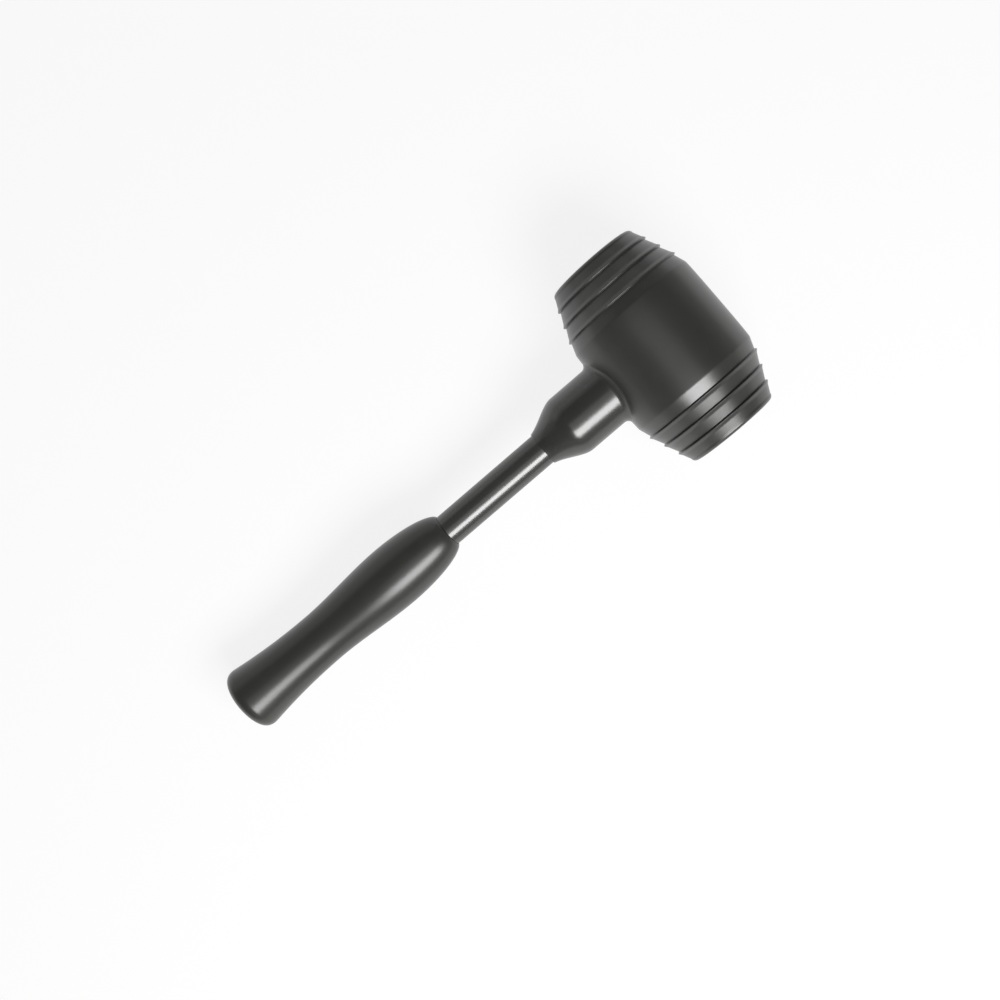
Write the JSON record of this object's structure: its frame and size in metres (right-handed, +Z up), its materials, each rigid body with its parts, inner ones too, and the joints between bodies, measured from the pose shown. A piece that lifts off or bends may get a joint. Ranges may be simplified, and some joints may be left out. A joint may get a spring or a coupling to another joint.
{
  "type": "mallet",
  "caption": "Shot-filled mallet: ringed barrel head and neck boss moulded over a steel canister, coated tube shank, flared rubber grip; loose balls damp the rebound.",
  "frame": {"origin": "middle of the lying mallet's footprint, on the bench it rests on", "axes": "+X along the handle from the butt to the head, +Y along the head towards the left striking face, +Z up from the bench"},
  "size_m": [0.3306, 0.114, 0.075],
  "materials": {
    "head_rubber": "satin charcoal moulded elastomer",
    "grip_rubber": "soft satin charcoal rubber",
    "coated_steel": "semi-gloss black coating on steel tube",
    "steel": "turned steel",
    "weld": "rippled weld bead",
    "shot": "polished steel balls",
    "plug": "moulded plastic"
  },
  "bodies": {
    "mallet": {"head_jacket": "head_rubber", "grip": "grip_rubber", "handle_tube": "coated_steel", "canister_tube": "steel", "canister_cap_left": "steel", "canister_cap_right": "steel", "cap_weld_left": "weld", "cap_weld_right": "weld", "handle_socket": "steel", "socket_weld": "weld", "socket_pin": "steel", "grip_anchor_pin": "steel", "rear_tube_plug": "plug"},
    "shot": {"shot_ball_01": "shot", "shot_ball_02": "shot", "shot_ball_03": "shot", "shot_ball_04": "shot", "shot_ball_05": "shot", "shot_ball_06": "shot", "shot_ball_07": "shot", "shot_ball_08": "shot", "shot_ball_09": "shot", "shot_ball_10": "shot", "shot_ball_11": "shot", "shot_ball_12": "shot", "shot_ball_13": "shot", "shot_ball_14": "shot", "shot_ball_15": "shot", "shot_ball_16": "shot", "shot_ball_17": "shot", "shot_ball_18": "shot", "shot_ball_19": "shot", "shot_ball_20": "shot", "shot_ball_21": "shot", "shot_ball_22": "shot", "shot_ball_23": "shot", "shot_ball_24": "shot", "shot_ball_25": "shot", "shot_ball_26": "shot", "shot_ball_27": "shot", "shot_ball_28": "shot", "shot_ball_29": "shot", "shot_ball_30": "shot", "shot_ball_31": "shot", "shot_ball_32": "shot", "shot_ball_33": "shot", "shot_ball_34": "shot", "shot_ball_35": "shot"}
  },
  "joints": [
    {"name": "shot_slide", "type": "slide", "parent": "mallet", "child": "shot", "axis": [0, 1, 0], "range_m": [-0.0048, 0.0048]}
  ]
}
